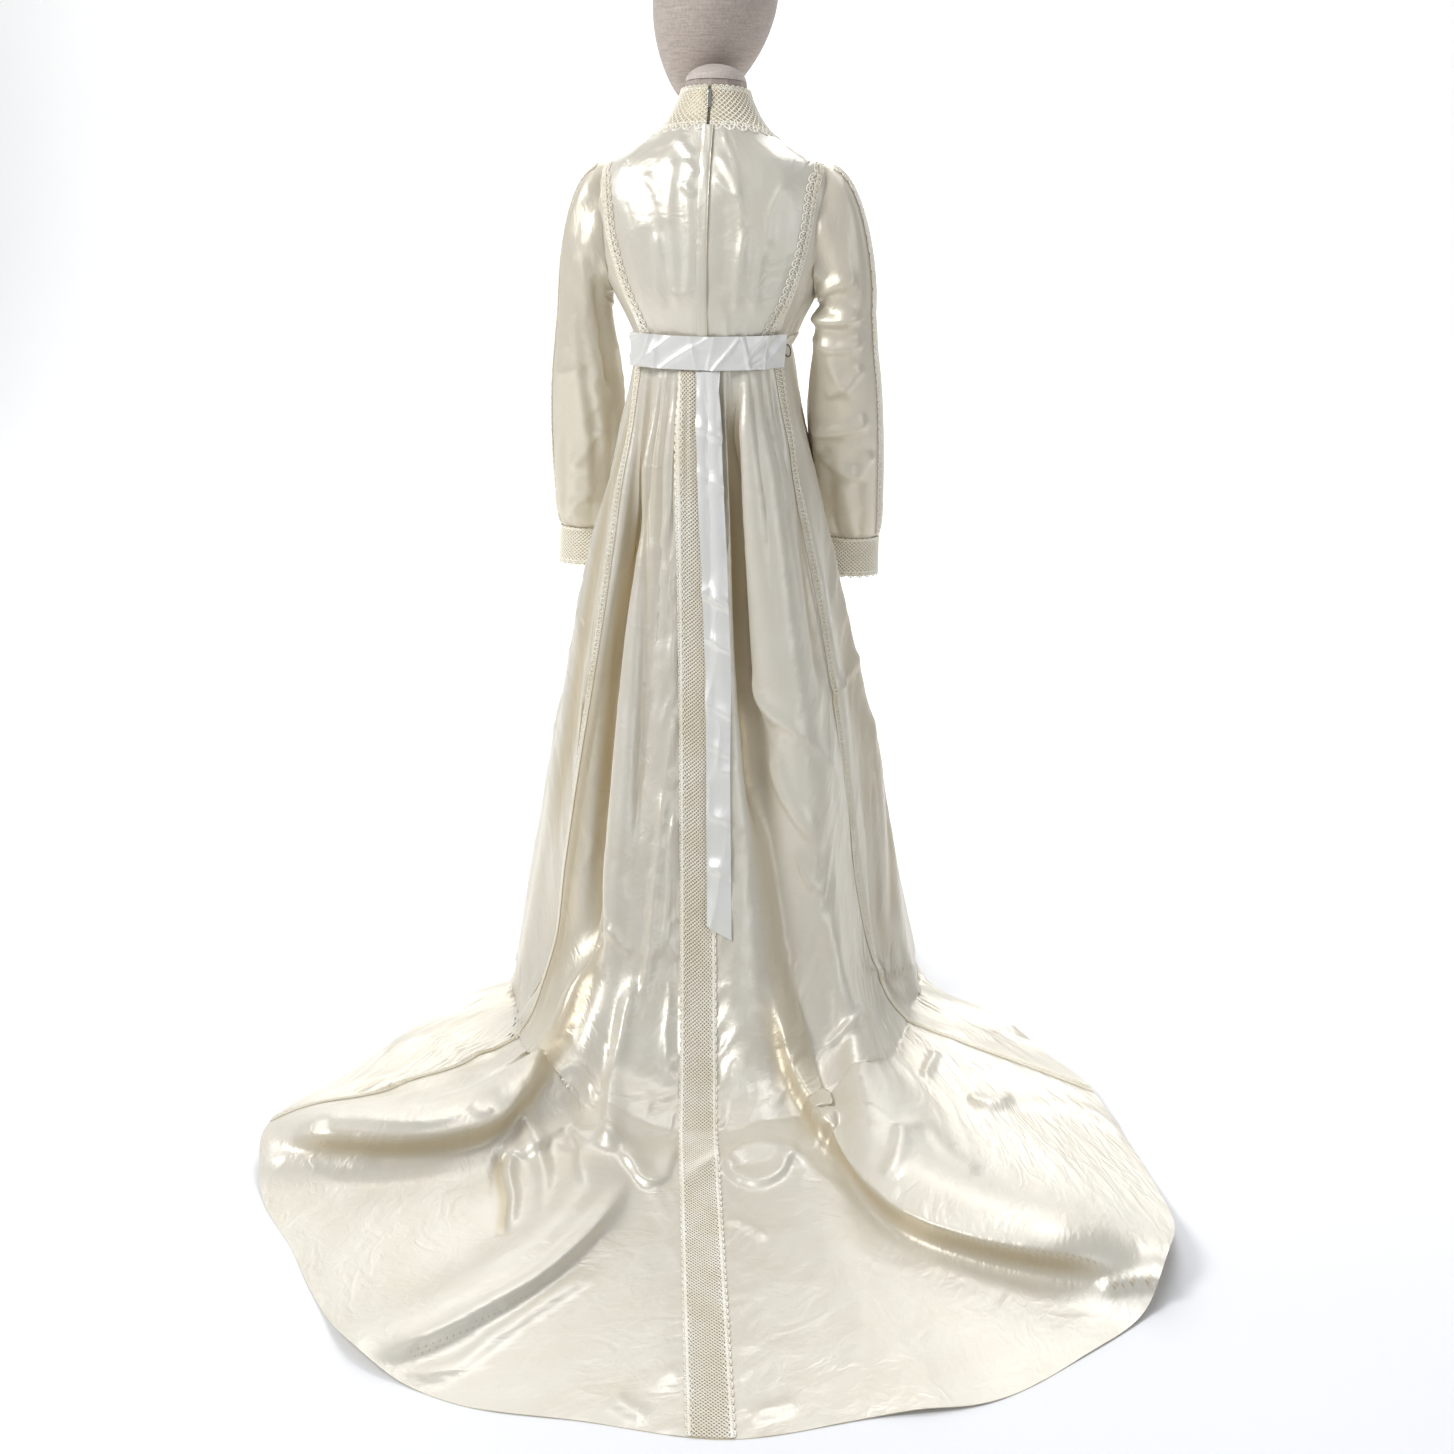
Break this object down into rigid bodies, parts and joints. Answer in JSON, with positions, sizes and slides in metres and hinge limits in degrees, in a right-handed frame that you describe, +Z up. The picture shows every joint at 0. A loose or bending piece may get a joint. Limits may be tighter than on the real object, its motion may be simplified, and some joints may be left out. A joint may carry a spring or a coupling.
{
  "type": "wedding dress on a dress form",
  "caption": "Empire-line satin wedding gown with lace-trimmed long sleeves, stand collar and train, on a limbless dress form.",
  "frame": {"origin": "centre of the stand base's underside, on the floor", "axes": "+Z up, +Y out of the form's chest, train towards -Y, +X to the wearer's right when seen from behind"},
  "size_m": [1.2702, 1.5327, 1.7058],
  "materials": {
    "satin": "ivory duchess satin, glossy",
    "ribbon": "cool white satin ribbon",
    "lace": "cream cotton lace, matte",
    "linen": "grey-beige linen, matte",
    "cap_linen": "pale linen, matte",
    "steel": "brushed",
    "nickel": "nickel plated"
  },
  "bodies": {
    "gown_on_form": {"form_base": "steel", "form_pole": "steel", "form_torso": "linen", "form_neck": "cap_linen", "form_head": "linen", "bodice_front": "satin", "bodice_back_left": "satin", "bodice_back_right": "satin", "lace_bodice_back_left": "lace", "lace_bodice_back_right": "lace", "lace_bodice_front_left": "lace", "lace_bodice_front_right": "lace", "lace_waist": "lace", "collar": "lace", "zip_placket": "satin", "zip_slider": "nickel", "sleeve_left": "satin", "sleeve_right": "satin", "lace_sleeve_left": "lace", "lace_sleeve_right": "lace", "cuff_left": "lace", "cuff_right": "lace", "skirt_front": "satin", "skirt_side_left": "satin", "skirt_side_right": "satin", "skirt_back_left": "satin", "skirt_back_right": "satin", "lace_centre_back": "lace", "lace_side_left": "lace", "lace_side_right": "lace", "bow_band": "ribbon", "bow_streamer": "ribbon"},
    "zip_pull": {"zip_pull": "nickel"}
  },
  "joints": [
    {"name": "zip_pull_hinge", "type": "hinge", "parent": "gown_on_form", "child": "zip_pull", "pos_m": [0, -0.04461, 1.43942], "axis": [-1, 0, 0], "range_deg": [0, 150]}
  ]
}
